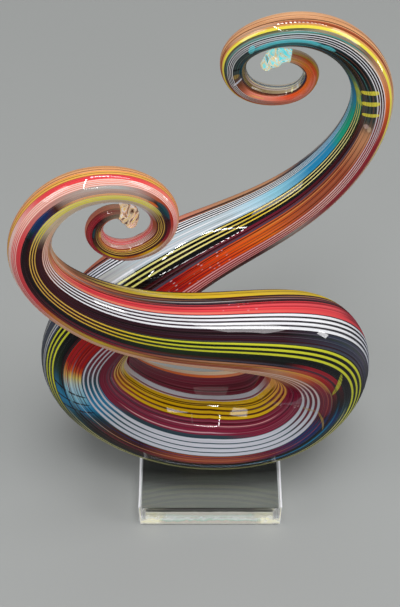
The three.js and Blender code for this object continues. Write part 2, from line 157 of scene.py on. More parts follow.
# Each cane: its angles round the rod in degrees at the back arm, the loop's bottom and the front
# arm, then the colours that its glass runs through. "late" takes over where one ramp is too short.
# A set of threads has their number, colours and half widths. A line has its place across the cane,
# half width, colours and, where it stops short, its span. "bubbles" is a span too.
CANES = {
    "aubergine_ribbon": {
        "angles": ((15, 36), (27, 46), (18, 35)),
        "body": "-320 silver, -296 clay, -286 smoke, -250 smoke, -236 petrol, -224 blue,"
                " -216 green, -205 green, -199 blue, -188 blue, -172 sky, -158 ice, -150 frost,"
                " -118 frost, -104 silver, -88 slate, -60 smoke, -40 night, 60 night, 76 dusk,"
                " 90 slate, 110 aubergine, 180 aubergine, 205 maroon, 222 maroon, 229 cream,"
                " 262 cream, 269 umber, 300 rust",
        "lines": [(0.3, 0.05, "-240 petrol, -170 sky, -140 white, -90 dusk, 80 smoke, 110 night",
                   (-260, 190)),
                  (0.62, 0.06, "-150 pearl, -100 silver, 70 slate, 110 plum, 190 plum",
                   (-140, 225)),
                  (0.82, 0.04, "-150 white, -100 pearl, 70 night, 110 maroon", (-160, 225)),
                  (0.25, 0.06, "0 straw", (-325, -290)), (0.6, 0.06, "0 umber", (-325, -290)),
                  (0.5, 0.08, "0 honey", (266, 303)),
                  (0.94, 0.06, "0 honey", (266, 303))],
    },
    "yellow_thread": {
        "threads": 3,
        "angles": ((36, 54), (46, 66), (35, 55)),
        "body": "-320 clay, -298 umber, -286 smoke, -240 smoke, -226 green, -212 moss, -190 night,"
                " -120 night, -88 night, -60 smoke, 40 smoke, 60 moss, 76 night, 165 moss,"
                " 185 maroon, 222 maroon, 232 cream, 262 cream, 268 umber, 300 umber",
        # From -38 to 38 mm the threads turn straw, partly as a painted highlight along the rod's
        # lower edge.
        "thread": "-320 straw, -290 khaki, -240 moss, -224 lime, -212 straw, -190 straw,"
                  " -160 yellow, -130 straw, -88 lime, -70 lime, -55 olive, -38 straw, 38 straw,"
                  " 62 lime, 110 lime, 150 lime, 172 yellow, 190 honey, 222 honey, 228 lemon,"
                  " 236 lemon, 262 lemon, 267 umber, 300 umber",
        "girth": "-300 .12, -200 .15, -120 .18, -80 .2, 0 .3, 70 .2, 110 .24, 150 .2, 190 .17,"
                 " 225 .2, 240 .3, 258 .3, 268 .16",
        "lines": [(0.25, 0.08, "0 honey", (266, 303)), (0.7, 0.08, "0 honey", (266, 303))],
    },
    "teal_ribbon": {
        "angles": ((54, 58), (66, 76), (55, 62)),
        "body": "-300 umber, -285 petrol, -224 smoke, -214 night, -120 night, -86 night, -76 moss,"
                " -66 blue, -56 petrol, -46 moss, -30 moss, 34 moss, 48 moss, 58 petrol, 68 night,"
                " 100 night, 150 moss, 175 night, 205 night, 224 maroon, 229 navy, 236 umber,"
                " 241 peach, 259 peach, 264 petrol, 270 maroon, 285 umber",
        # The straw line near the loop's bottom is a painted highlight along the rod's lower edge.
        "lines": [(0.35, 0.12, "0 straw", (-55, 55))],
    },
    "maroon_ribbon": {
        "angles": ((58, 69), (76, 88), (62, 76)),
        "body": "-320 umber, -296 brown, -288 petrol, -262 petrol, -240 night, -222 smoke,"
                " -214 umber, -203 maroon, -160 wine, -120 maroon, -90 night, -80 night, -76 moss,"
                " -71 petrol, -65 blue, -57 petrol, -48 night, -20 night, 20 night, 42 petrol,"
                " 54 navy, 64 night, 76 maroon, 84 crimson, 98 crimson, 106 night, 150 umber,"
                " 172 wine, 205 maroon, 224 night",
        "late": "224 night, 228 petrol, 232 navy, 236 umber, 240 clay, 258 clay, 262 umber,"
                " 266 petrol, 270 maroon, 278 crimson, 284 gold, 290 red, 296 gold, 302 maroon",
        "lines": [(0.45, 0.09, "-210 night, -110 night, -85 maroon, -66 night, -30 umber,"
                               " 40 blue, 70 night, 120 dusk, 200 night", (-210, 215)),
                  (0.82, 0.14, "-210 dusk, -110 dusk, -88 red, -80 red, -76 amber, -70 sky,"
                               " -58 night, -30 umber, 40 night, 70 maroon, 90 red,"
                               " 130 copper, 170 crimson, 210 night", (-210, 215)),
                  (0.3, 0.12, "0 night", (-318, -240)), (0.7, 0.1, "0 rust", (-318, -294))],
    },
    "orange_ribbon": {
        "angles": ((69, 97), (88, 102), (76, 88)),
        "body": "-335 copper, -326 orange, -319 orange, -312 scarlet, -305 salmon, -299 salmon,"
                " -294 brown, -288 smoke, -262 petrol, -240 night, -222 smoke, -215 smoke,"
                " -211 copper, -196 rust, -180 rust, -160 orange, -142 scarlet, -122 red, -84 red,"
                " -79 red, -77.5 orange, -76.3 gold, -74.5 straw, -72 ice, -66 sky, -60 blue,"
                " -54 petrol, -44 umber, -30 maroon",
        "late": "-30 maroon, -10 rust, 10 rust, 24 wine, 38 navy, 50 navy, 58 plum, 62 wine,"
                " 76 wine, 88 crimson, 96 orange, 108 copper, 118 rust, 150 rust, 163 amber,"
                " 174 gold, 186 amber, 195 orange, 199 coral, 222 coral, 240 clay, 252 silver,"
                " 262 rust, 272 red, 284 cream, 296 crimson",
        "lines": [(0.1, 0.04, "-210 umber, -170 maroon, -140 night, -84 crimson, -66 night,"
                              " -40 wine, 60 navy, 100 gold, 150 umber", (-212, 190)),
                  (0.2, 0.02, "-210 copper, -170 amber, -140 maroon, -84 night, 60 dusk",
                   (-212, -60)),
                  (0.4, 0.025, "-210 night, -170 maroon, -140 rust, -84 wine, -66 ice,"
                               " -40 copper, 60 crimson, 100 copper, 180 yellow", (-212, 190)),
                  (0.58, 0.02, "-210 copper, -170 rust, -140 maroon, -84 maroon, 60 dusk",
                   (-212, 60)),
                  (0.8, 0.03, "-210 umber, -170 maroon, -140 wine, -84 wine, -66 night,"
                              " -40 navy, 60 wine, 130 salmon, 190 rust", (-212, 190)),
                  (0.15, 0.03, "0 night", (-290, -214)), (0.35, 0.02, "0 teal", (-282, -228)),
                  (0.5, 0.03, "0 night", (-290, -214)), (0.68, 0.02, "0 brown", (-262, -214)),
                  (0.85, 0.03, "0 night", (-290, -214))],
        "bubbles": (-146, -112),
    },
    "lower_white_thread": {
        "threads": 4,
        "angles": ((97, 119), (102, 127), (88, 109)),
        "body": "-335 gold, -324 orange, -316 salmon, -300 brown, -290 night, -236 night,"
                " -224 umber, -205 crimson, -150 crimson, -120 red, -84 wine, -74 petrol,"
                " -62 blue, -46 petrol, 40 petrol, 60 wine, 86 wine, 98 copper, 150 peach,"
                " 186 peach, 198 coral, 218 coral, 228 salmon, 262 salmon, 272 coral, 284 wine",
        "thread": "-320 coral, -300 brown, -290 night, -222 night, -212 white, -186 pink,"
                  " -150 rose, -120 rose, -84 pearl, -60 pearl, 46 pearl, 70 pearl, 90 pink,"
                  " 190 pink, 204 pink, 226 pink, 262 pink, 272 pink, 284 cream, 300 coral",
        "girth": "-300 .1, -214 .1, -186 .24, -100 .24, -84 .17, -62 .2, -45 .33, -28 .39, 34 .39,"
                 " 54 .3, 80 .2, 100 .16, 190 .14, 218 .18, 230 .26, 262 .26, 280 .2",
        "lines": [(0.1, 0.06, "0 white", (-302, -214)), (0.42, 0.06, "0 white", (-302, -214)),
                  (0.74, 0.06, "0 white", (-302, -214))],
    },
    "ruby_ribbon": {
        "angles": ((119, 139), (127, 149), (109, 122)),
        "body": "-330 orange, -318 salmon, -296 rust, -288 smoke, -264 olive, -244 smoke,"
                " -232 copper, -222 orange, -208 crimson, -182 crimson, -168 silver, -154 maroon,"
                " -136 maroon, -120 wine, -90 wine, -60 ruby, 60 ruby, 86 wine, 110 copper,"
                " 172 amber, 192 orange, 203 pink, 222 pink, 234 coral, 256 coral, 268 salmon,"
                " 280 cream, 296 crimson",
        "lines": [(0.08, 0.1, "-60 ruby, -46 petrol, 8 petrol, 26 ruby", (-62, 30)),
                  (0.3, 0.03, "-60 rose, 60 mauve", (-50, 8)),
                  (0.52, 0.03, "-210 wine, -150 rust, -84 dusk, 0 wine, 60 plum", (-210, 80)),
                  (0.66, 0.02, "-90 mauve, 20 rose", (-30, 44)),
                  (0.8, 0.04, "-210 salmon, -150 wine, -84 dusk, 0 maroon, 60 wine", (-210, 80)),
                  (0.08, 0.06, "0 white", (-302, -214)), (0.4, 0.06, "0 teal", (-285, -240))],
    },
    "golden_thread": {
        "threads": 3,
        "angles": ((139, 155), (149, 165), (122, 137)),
        "body": "-330 orange, -292 copper, -284 copper, -226 copper, -210 silver, -140 wine,"
                " -90 wine, -60 rust, -30 bronze, 30 bronze, 70 wine, 110 copper, 196 copper,"
                " 210 honey, 262 honey, 276 salmon",
        "thread": "-330 orange, -294 copper, -240 copper, -214 cream, -140 amber, -90 straw,"
                  " -70 amber, -50 gold, 40 gold, 66 amber, 90 amber, 196 amber, 210 amber,"
                  " 262 amber, 276 salmon",
        "girth": "-290 .36, -226 .36, -100 .2, -60 .24, -40 .3, 30 .3, 60 .24, 200 .26, 230 .24,"
                 " 262 .24",
        "lines": [(0.3, 0.3, "-340 scarlet, -322 orange, -300 gold, -290 lemon, -222 lemon",
                   (-345, -205)),
                  (0.05, 0.06, "0 crimson", (200, 276)), (0.62, 0.07, "0 brown", (200, 276)),
                  (0.8, 0.12, "0 amber", (-330, -222))],
    },
    "amber_ribbon": {
        "angles": ((155, 165), (165, 170), (137, 152)),
        "body": "-330 gold, -300 copper, -288 rust, -236 rust, -224 copper, -214 cream,"
                " -140 copper, -88 straw, -60 gold, -44 gold, 40 gold, 66 amber, 100 copper,"
                " 200 peach, 262 peach, 276 salmon",
        "lines": [(0.25, 0.12, "-60 bronze", (-70, 70)), (0.05, 0.06, "0 orange", (205, 275)),
                  (0.5, 0.1, "0 brown", (200, 270)), (0.3, 0.2, "0 brown", (-300, -226))],
    },
    "pale_ribbon": {
        "angles": ((165, 180), (170, 177), (152, 165)),
        "body": "-330 peach, -285 peach, -262 copper, -240 peach, -214 cream, -88 cream,"
                " -50 pearl, 40 pearl, 66 rust, 110 pink, 205 peach, 226 peach, 262 peach,"
                " 276 salmon",
        "lines": [(0.2, 0.12, "0 wine", (-60, 60)), (0.3, 0.12, "0 umber", (-300, -225)),
                  (0.5, 0.1, "0 brown", (212, 272))],
    },
    "wine_ribbon": {
        "angles": ((180, 212), (177, 206), (165, 200)),
        "body": "-330 cream, -292 copper, -282 copper, -262 peach, -240 copper, -200 umber,"
                " -120 wine, -80 wine, -40 wine, 40 wine, 110 maroon, 196 copper, 214 peach,"
                " 228 peach, 262 peach, 276 copper",
        "lines": [(0.2, 0.03, "-280 rust, -240 umber, -80 maroon, 60 maroon, 230 rust"),
                  (0.45, 0.03, "-280 cream, -240 copper, -80 ruby, 60 maroon, 230 cream"),
                  (0.7, 0.03, "-280 rust, -240 cream, -80 maroon, 60 ruby, 230 amber")],
    },
    "ivory_ribbon": {
        "angles": ((212, 230), (206, 232), (200, 225)),
        "body": "-330 copper, -282 cream, -240 copper, -160 cream, -80 copper, -40 orange,"
                " 0 orange, 40 copper, 110 cream, 200 peach, 240 peach, 276 cream",
        "lines": [(0.62, 0.34, "-280 cream, -160 pearl, -60 cream, 60 cream, 130 pearl, 190 peach",
                   (-340, 190))],
    },
    "umber_ribbon": {
        "angles": ((230, 255), (232, 264), (225, 256)),
        "body": "-330 copper, -282 rust, -240 crimson, -200 wine, -140 maroon, -80 navy,"
                " -40 petrol, 0 navy, 40 wine, 110 crimson, 170 maroon, 220 rust, 276 copper",
        "lines": [(0.15, 0.05, "-280 cream, -160 gold, 0 sky, 110 cream, 240 gold"),
                  (0.4, 0.05, "-280 amber, -160 cream, 0 teal, 110 gold, 240 cream"),
                  (0.65, 0.05, "-280 cream, -160 gold, 0 sky, 110 cream, 240 gold")],
    },
    "smoke_ribbon": {
        "angles": ((255, 285), (264, 306), (256, 300)),
        "body": "-330 smoke, -282 petrol, -240 teal, -190 petrol, -120 night, -60 slate, 0 night,"
                " 60 dusk, 130 aubergine, 200 petrol, 240 teal, 276 smoke",
        "lines": [(0.12, 0.025, "-280 pearl, -100 white, 0 pearl, 100 white, 240 pearl"),
                  (0.24, 0.025, "-280 pearl, -100 white, 0 pearl, 100 white, 240 pearl"),
                  (0.36, 0.025, "-280 pearl, -100 white, 0 pearl, 100 white, 240 pearl"),
                  (0.74, 0.06, "-280 sky, -160 blue, -60 dusk, 60 wine, 160 crimson, 240 rust")],
    },
    "gold_thread": {
        "threads": 2,
        "angles": ((285, 305), (306, 322), (300, 323)),
        "body": "-330 cream, -240 smoke, -160 umber, -60 night, 60 moss, 92 bronze, 170 bronze,"
                " 186 umber, 206 copper, 226 cream, 262 cream, 274 salmon, 305 coral",
        "thread": "-330 cream, -240 olive, -160 gold, -60 olive, 60 olive, 92 yellow, 172 yellow,"
                  " 184 khaki, 194 brown, 206 copper, 226 cream, 262 cream, 276 pink",
        "girth": "-300 .25, -60 .25, 60 .3, 92 .44, 170 .44, 190 .2, 268 .2, 280 .2",
    },
    "plum_ribbon": {
        "angles": ((305, 325), (322, 331), (323, 338)),
        "body": "-330 cream, -240 smoke, -160 copper, -100 umber, -60 night, 60 night, 88 maroon,"
                " 150 plum, 172 brown, 192 rust, 206 copper, 226 cream, 262 cream, 274 salmon,"
                " 305 coral",
        "lines": [(0.3, 0.06, "-160 salmon, -60 dusk, 60 night, 90 copper, 130 night, 180 copper,"
                              " 262 cream, 274 white"),
                  (0.62, 0.07, "-160 cream, -60 dusk, 60 night, 90 wine, 140 silver, 180 dusk,"
                               " 262 cream, 274 pink")],
    },
    "coral_ribbon": {
        "angles": ((325, 358), (331, 360), (338, 355)),
        "body": "-330 cream, -280 silver, -232 petrol, -200 silver, -184 slate, -172 copper,"
                " -150 copper, -132 salmon, -100 rust, -86 dusk, -60 slate, 40 night, 70 dusk,"
                " 84 crimson, 90 coral, 190 coral, 206 salmon, 215 copper, 226 silver, 250 cream,"
                " 262 silver, 276 coral, 300 coral",
        "lines": [(0.12, 0.08, "-160 umber, -100 maroon, 60 night, 90 crimson, 150 maroon,"
                               " 190 umber, 210 rust", (-240, 225)),
                  (0.45, 0.03, "-160 copper, 60 night, 84 crimson", (-240, 225)),
                  (0.86, 0.1, "-200 slate, -160 night, -100 maroon, 60 night, 88 coral,"
                              " 160 salmon, 210 copper", (-240, 225)),
                  (0.3, 0.04, "0 pink", (272, 310)), (0.7, 0.05, "0 white", (272, 310))],
        "bubbles": (118, 134),
    },
    "upper_white_thread": {
        "threads": 4,
        "angles": ((358, 375), (360, 387), (355, 378)),
        "body": "-330 smoke, -280 smoke, -232 teal, -200 blue, -180 petrol, -150 night,"
                " -118 night, -88 slate, -60 slate, 40 night, 70 slate, 84 night, 160 plum,"
                " 196 aubergine, 216 rust, 224 salmon, 232 cream, 262 pearl, 270 rust, 300 rust",
        "thread": "-330 pearl, -240 ice, -200 ice, -175 white, -118 white, -100 pearl, -88 silver,"
                  " -60 smoke, 50 smoke, 72 pearl, 90 white, 200 white, 214 pink, 226 cream,"
                  " 262 white, 268 rust, 274 brown, 282 white, 300 pink",
        "girth": "-300 .14, -200 .18, -150 .22, -100 .26, -80 .2, 60 .2, 80 .22, 100 .3, 165 .26,"
                 " 200 .2, 226 .3, 262 .3, 276 .16",
    },
}

# Patches of colour in the glass under the threads: millimetres along the rod, angle round it, half
# length in millimetres, half width in degrees, lean in millimetres a degree, colour, strength.
UNDER_COLOURS = [
    # back curl
    (-229, 45, 5, 9, 0.0, "lime", 0.5), (-264, 72, 6, 14, 0.0, "night", 0.7),
    (-266, 108, 9, 6, 0.0, "frost", 0.5), (-291, 85, 0.4, 27, -0.03, "pearl", 0.9),
    (-288.5, 86, 1.0, 20, -0.02, "khaki", 0.6), (-285.5, 84, 0.5, 22, -0.02, "night", 0.7),
    (-312, 95, 1.6, 9, 0.0, "scarlet", 0.9), (-321, 46, 3, 16, 0.0, "navy", 1),
    (-325, 36, 1.2, 22, 0.0, "pearl", 0.8), (-317, 34, 0.6, 22, 0.02, "pearl", 0.8),
    (-314, 40, 0.4, 22, 0.03, "straw", 0.7), (-325, 130, 2.2, 9, 0.0, "scarlet", 0.8),
    # front curl
    (230, 69, 4, 9, 0.0, "navy", 0.8), (266, 73, 4, 10, 0.0, "petrol", 0.9),
    (262, 60, 2, 5, 0.0, "orange", 0.8), (209, 91, 17, 8, 0.0, "coral", 0.9),
    (308, 25, 2, 8, 0.0, "night", 0.9), (306, 66, 2, 9, 0.0, "petrol", 0.8),
    # left bend
    (-60, 75, 0.5, 24, 0.13, "night", 0.9), (-64.5, 76, 0.5, 24, 0.13, "night", 0.9),
    (-69, 77, 0.5, 24, 0.13, "night", 0.9),
]
# Painted reflections and glares, and far canes seen through the glass, laid over the threads: the
# same values.
PAINTED_REFLECTIONS = [
    (-228, 82, 0.9, 26, 0.03, "lemon", 1), (-223.5, 80, 0.9, 26, 0.01, "lemon", 1),
    (-219, 82, 0.7, 24, 0.0, "lemon", 0.9), (-214.5, 78, 1.0, 8, 0.02, "pink", 0.5),
    (-213.5, 88, 1.2, 6, 0.03, "cream", 0.5),
    (-229, 47, 1.6, 12, 0.1, "lime", 0.6), (-224, 48, 1.4, 12, 0.1, "lime", 0.6),
    (-264, 88, 12, 15, 0.0, "aqua", 1), (-263, 78, 9, 10, 0.0, "petrol", 1),
    (-275, 95, 1.3, 18, 0.05, "aqua", 0.9), (-251, 86, 2.8, 8, 0.0, "aqua", 0.9),
    (-261, 72, 8, 2.2, 0.0, "aqua", 0.6), (-268, 110, 14, 2.5, 0.0, "frost", 0.4),
    (-266, 122, 13, 4, 0.0, "aqua", 0.35), (-273, 160, 9, 8, 0.0, "cream", 0.5),
    (-250, 134, 10, 6, 0.0, "cream", 0.5),
    (-314, 97, 10, 16, 0.0, "salmon", 0.35), (-262, 66, 14, 1.5, 0.0, "ice", 0.5),
    (-268, 130, 20, 4, 0.0, "frost", 0.35), (-240, 122, 10, 5, 0.0, "cream", 0.4),
    (-301, 85, 3, 3, 0.0, "lemon", 0.5), (-299, 96, 1.6, 3, 0.0, "gold", 0.6),
    (-317, 103, 1.2, 8, 0.0, "orange", 0.8),
    (-307, 20, 6, 4, 0.0, "ice", 0.25),
    (228, 47, 2.5, 8, 0.0, "lime", 0.4),
    (265, 49, 2.5, 7, 0.0, "lime", 0.5), (249, 43, 19, 6, 0.0, "lemon", 0.6),
    (305, 22, 1.6, 7, 0.0, "lemon", 0.6),
    # front arm and right bend
    (174, 84, 4, 3, 0.0, "lemon", 0.4),
    (56, 88.5, 1.3, 11, 0.84, "khaki", 0.8), (65, 106, 1.1, 9, 0.12, "khaki", 0.6),
    (94, 82, 17, 3, 0.0, "amber", 0.7), (80, 69.5, 1.7, 12, -0.35, "lime", 0.85),
]

# Soft lights: place, width and depth, watts, colour, and the one use that they are hidden from.
LIGHT_AIM = (0.0, 0.0, 0.1)
PLAIN_WHITE = (1.0, 1.0, 1.0)
LIGHTS = {
    "soft_top": ((0.1, -0.5, 2.0), (0.9, 0.9), 29.0, PLAIN_WHITE, "visible_glossy"),
    "soft_back": ((0.0, 0.95, 1.2), (1.2, 0.7), 1.7, (1.0, 1.0, 0.92), None),
    "fill_right": ((1.2, -0.3, 0.7), (0.5, 0.5), 4.0, PLAIN_WHITE, "visible_glossy"),
    "fill_left": ((-1.2, -0.3, 0.7), (0.5, 0.5), 3.0, PLAIN_WHITE, "visible_glossy"),
    "soft_right": ((0.68, -0.2, 0.68), (0.3, 0.5), 2.6, PLAIN_WHITE, "visible_diffuse"),
    "soft_left": ((-0.64, -0.3, 0.7), (0.3, 0.5), 2.2, PLAIN_WHITE, "visible_diffuse"),
    "soft_low": ((0.95, 0.03, 0.1), (0.12, 0.16), 0.6, PLAIN_WHITE, "visible_diffuse"),
}
LAMP_SIZE = (0.01, 0.025)
LAMP_WATTS = 0.04
DIM_ROW_WATTS = 0.018
DIM_SIDE_WATTS = 0.002
WORLD_COLOUR = (0.64, 0.66, 0.68, 1.0)
WORLD_STRENGTH = 0.2
CAMERA_PLACE = (-0.0042, -0.2448, 0.4211)
CAMERA_TILT = math.radians(38.4)
CAMERA_LENS = 65.9


def linear(code):
    """Linear red, green and blue of a six-digit screen colour."""
    channels = [int(code[i:i + 2], 16) / 255 for i in (0, 2, 4)]
    return [c / 12.92 if c <= 0.04045 else ((c + 0.055) / 1.055) ** 2.4 for c in channels]


def colour(name, description, code):
    return FloatVectorProperty(
        name=name, description=description, subtype="COLOR", size=3, min=0, max=1,
        default=linear(code))


def length(name, description, default):
    return FloatProperty(
        name=name, description=description, default=default, min=0.0001, unit="LENGTH",
        subtype="DISTANCE", precision=4)


class GlassSizes(bpy.types.PropertyGroup):
    rod_diameter: length("Rod diameter", "Thickness of the rod at the bottom of the loop", 0.0398)
    loop_width: length("Loop width", "Scale of the loop from side to side", 0.0884)
    curl_height: length("Curl height", "Height of the curls above the loop's bottom", 0.1519)
    curl_depth: length("Curl depth", "How far each curl stands to the front or back", 0.0332)
    step_length: length("Step", "Longest step between two sections of the rod", 0.0022)
    block_edge: length("Block edge", "Width of the block's ground edges", 0.0009)
    cane_thickness: FloatProperty(
        name="Cane thickness", description="Thickness of the canes as a share of the rod's radius",
        default=0.12, min=0.02, max=0.5, subtype="FACTOR")
    step_turn: FloatProperty(
        name="Step turn", description="Largest turn between two sections of the rod",
        default=math.radians(3.5), min=0.01, subtype="ANGLE", unit="ROTATION")
    film_sides: IntProperty(
        name="Film sides", description="Points round the adhesive film", default=64, min=12)


class GlassColours(bpy.types.PropertyGroup):
    white: colour("White", "Opaque white threads", "f0f0f4")
    pearl: colour("Pearl", "Softer white", "cfd0da")
    silver: colour("Silver", "Clear glass over a bright ground", "b4b2ae")
    ice: colour("Ice", "Very light blue", "b9d6e6")
    sky: colour("Sky", "Light blue", "8dc8dc")
    blue: colour("Blue", "Bright blue", "2288b8")
    navy: colour("Navy", "Deep blue", "102f66")
    teal: colour("Teal", "Light blue-green", "3fa9a6")
    petrol: colour("Petrol", "Dark blue-green", "15434c")
    green: colour("Green", "Clear green", "18a07c")
    moss: colour("Moss", "Dark green", "1c2c12")
    olive: colour("Olive", "Greyed green", "6c6c3c")
    lime: colour("Lime", "Yellow-green threads", "cdce34")
    yellow: colour("Yellow", "Full yellow", "e6c434")
    straw: colour("Straw", "Pale yellow", "e6de94")
    khaki: colour("Khaki", "Brownish yellow", "b8984a")
    gold: colour("Gold", "Golden yellow", "e9bc14")
    amber: colour("Amber", "Golden orange", "e0a04c")
    bronze: colour("Bronze", "Brown-gold bed between golden threads", "5c3408")
    orange: colour("Orange", "Full orange", "e86a1c")
    scarlet: colour("Scarlet", "Orange-red", "ec4a14")
    red: colour("Red", "Full red", "b4180e")
    coral: colour("Coral", "Pinkish red", "e8444a")
    salmon: colour("Salmon", "Light pinkish red", "f08c74")
    crimson: colour("Crimson", "Bluish red", "a01c2a")
    ruby: colour("Ruby", "Deep pinkish red", "86203c")
    wine: colour("Wine", "Burgundy", "761c30")
    maroon: colour("Maroon", "Brown-red", "3c0a10")
    aubergine: colour("Aubergine", "Nearly black red-purple", "2c1018")
    plum: colour("Plum", "Dark purple", "341a28")
    mauve: colour("Mauve", "Pale greyed purple", "a890b0")
    dusk: colour("Dusk", "Grey-purple", "4a4454")
    slate: colour("Slate", "Dark grey-blue", "343c4c")
    smoke: colour("Smoke", "Grey clear glass", "404844")
    night: colour("Night", "Nearly black glass", "08080a")
    umber: colour("Umber", "Dark brown", "4a2418")
    brown: colour("Brown", "Red-brown", "84421c")
    rust: colour("Rust", "Orange-brown", "a85030")
    copper: colour("Copper", "Light orange-brown", "d0946a")
    pink: colour("Pink", "Pale pink", "f4d0c6")
    rose: colour("Rose", "Pale pinkish red", "f2b0b0")
    lemon: colour("Lemon", "Bright clear yellow", "f6e84a")
    honey: colour("Honey", "Pale golden yellow", "f2c258")
    peach: colour("Peach", "Pale orange", "eeae78")
    frost: colour("Frost", "Light grey-blue", "b6c4cc")
    aqua: colour("Aqua", "Bright blue-green", "6ceaf6")
    clay: colour("Clay", "Greyed pinkish brown", "b3978b")
    cream: colour("Cream", "Warm pale glass", "ecd2b0")
    floor: colour("Floor", "Plain pale floor", "a8aaa9")


class Value:
    """An output socket in a material, written in Python expressions that add Math nodes."""

    def __init__(self, glass, socket):
        self.glass = glass
        self.socket = socket

    def math(self, operation, *others):
        return self.glass.node("ShaderNodeMath", {"operation": operation}, (self, *others))

    def __add__(self, other):
        return self.math("ADD", other)

    __radd__ = __add__

    def __sub__(self, other):
        return self.math("SUBTRACT", other)

    def __rsub__(self, other):
        return self.math("MULTIPLY", -1.0) + other

    def __mul__(self, other):
        return self.math("MULTIPLY", other)

    __rmul__ = __mul__

    def __truediv__(self, other):
        return self.math("DIVIDE", other)

    def __lt__(self, other):
        return self.math("LESS_THAN", other)

    def __gt__(self, other):
        return self.math("GREATER_THAN", other)

    def __abs__(self):
        return self.math("ABSOLUTE")

    def vector(self, operation, *others):
        output = "Value" if operation == "DOT_PRODUCT" else "Vector"
        return self.glass.node(
            "ShaderNodeVectorMath", {"operation": operation}, (self, *others), output=output)

    def axis(self, number):
        return self.glass.node("ShaderNodeSeparateXYZ", {}, (self,), output=number)

    def clamped(self):
        return self.glass.node("ShaderNodeClamp", {}, (self, 0.0, 1.0))

    def fade(self, start, slope):
        """0 up to the start, then rising to 1, or the other way round with a slope below 0."""
        return ((self - start) * slope).clamped()


class GlassMaterial:
    """A material under construction, with its nodes made from one place."""

    def __init__(self, name):
        self.material = bpy.data.materials.new(name)
        self.material.use_nodes = True
        self.tree = self.material.node_tree
        self.tree.nodes.clear()
        self.colours = bpy.context.scene.glass_colours
        self.output = self.tree.nodes.new("ShaderNodeOutputMaterial")

    def node(self, kind, settings, inputs, output=0):
        """Adds a node, sets it up, feeds its sockets by order or by name, and returns an output."""
        node = self.tree.nodes.new(kind)
        for key, value in settings.items():
            if key == "stops":
                self.set_stops(node.color_ramp, value)
            else:
                setattr(node, key, value)
        named = inputs.items() if isinstance(inputs, dict) else enumerate(inputs)
        for key, value in named:
            if isinstance(value, Value):
                self.tree.links.new(value.socket, node.inputs[key])
            else:
                node.inputs[key].default_value = value
        return Value(self, node.outputs[output])

    def set_stops(self, ramp, stops):
        while len(ramp.elements) > 1:
            ramp.elements.remove(ramp.elements[-1])
        for i, (position, value) in enumerate(stops):
            element = ramp.elements[0] if i == 0 else ramp.elements.new(position)
            element.position = position
            element.color = value

    def paint(self, name):
        return (*getattr(self.colours, name), 1.0)

    def ramp(self, value, text, place=float):
        """A colour ramp from pairs of a place and the name of a colour, or a number."""
        stops = []
        for pair in text.split(","):
            position, entry = pair.split()
            named = entry[0].isalpha()
            shade = self.paint(entry) if named else (float(entry),) * 3 + (1.0,)
            stops.append((place(position), shade))
        return self.node("ShaderNodeValToRGB", {"stops": stops}, (value,))

    def noise(self, place, scale=1.0, detail=2.0, **others):
        return self.node(
            "ShaderNodeTexNoise", {},
            {"Vector": place, "Scale": scale, "Detail": detail, **others})

    def mix(self, factor, first, second, blend="MIX"):
        return self.node(
            "ShaderNodeMix", {"data_type": "RGBA", "blend_type": blend},
            {0: factor, 6: first, 7: second}, output=2)

    def finish(self, shader):
        self.tree.links.new(shader.socket, self.output.inputs["Surface"])
        return self.material


def share_at(millimetres):
    """A place along the rod as a share of the length that the colours are laid out on."""
    return (float(millimetres) - ALONG_START) / (ALONG_END - ALONG_START)


def drawn_streaks(glass, along, across, seed):
    """Fine streaks drawn out along the glass, around 0.5."""
    lengthwise, crosswise = 14.0, 9.0
    place = glass.node(
        "ShaderNodeCombineXYZ", {}, (along * lengthwise, across * crosswise + seed, seed))
    return glass.noise(place, detail=3.0, Roughness=0.6)


def fine_strands(glass, along, across, seed):
    """Thin dark strands and thin bright strands that run a long way along the glass."""
    lengthwise, crosswise = 5.0, 26.0
    place = glass.node(
        "ShaderNodeCombineXYZ", {},
        (along * lengthwise + seed, across * crosswise + seed, seed * 1.7))
    strands = glass.noise(place, detail=1.0)
    return strands.fade(0.42, -9.0), strands.fade(0.6, 9.0)


def stripe(across, centre, half_width, softness=0.03):
    """1 inside a stripe along the rod, 0 outside it, with soft edges."""
    inside = (half_width - abs(across - centre)) / softness + 0.5
    return inside.clamped()


def body_colours(glass, along, cane):
    """The body's colours; a second ramp takes over where one has too many stops."""
    body = glass.ramp(along, cane["body"], share_at)
    if "late" not in cane:
        return body
    start = share_at(cane["late"].split()[0])
    return glass.mix(along > start, body, glass.ramp(along, cane["late"], share_at))


def with_threads(glass, shade, along, across, cane):
    """Lays the threads of a set side by side, as wide as the set's girth is there."""
    girth = glass.ramp(along, cane["girth"], share_at)
    lane = (across * cane["threads"]).math("FRACT")
    mask = stripe(lane, 0.5, girth, softness=0.09)
    return glass.mix(mask, shade, glass.ramp(along, cane["thread"], share_at))


def with_lines(glass, shade, along, across, streaks, lines):
    """Lays single fine lines that waver a little, some of them over part of the rod only."""
    for centre, half_width, text, *spans in lines:
        mask = stripe(across, centre + (streaks - 0.5) * LINE_WAVER, half_width)
        for start, stop in spans:
            reach = (stop - start) / 2 / (ALONG_END - ALONG_START)
            mask = mask * stripe(along, share_at((start + stop) / 2), reach, softness=0.02)
        shade = glass.mix(mask * LINE_STRENGTH, shade, glass.ramp(along, text, share_at))
    return shade


def with_bubbles(glass, shade, along, across, span):
    """Lays rows of tiny bubbles between two places along the rod."""
    lengthwise, crosswise = 190.0, 5.0
    place = glass.node(
        "ShaderNodeCombineXYZ", {}, (along * lengthwise, across * crosswise, 0.3))
    spots = glass.node(
        "ShaderNodeTexVoronoi", {}, {"Vector": place, "Scale": 1.0, "Randomness": 0.55})
    middle = share_at(sum(span) / 2)
    reach = share_at(span[1]) - middle
    mask = spots.fade(0.17, -12.0) * (abs(along - middle) < reach)
    return glass.mix(mask * BUBBLE_STRENGTH, shade, glass.paint("pearl"))


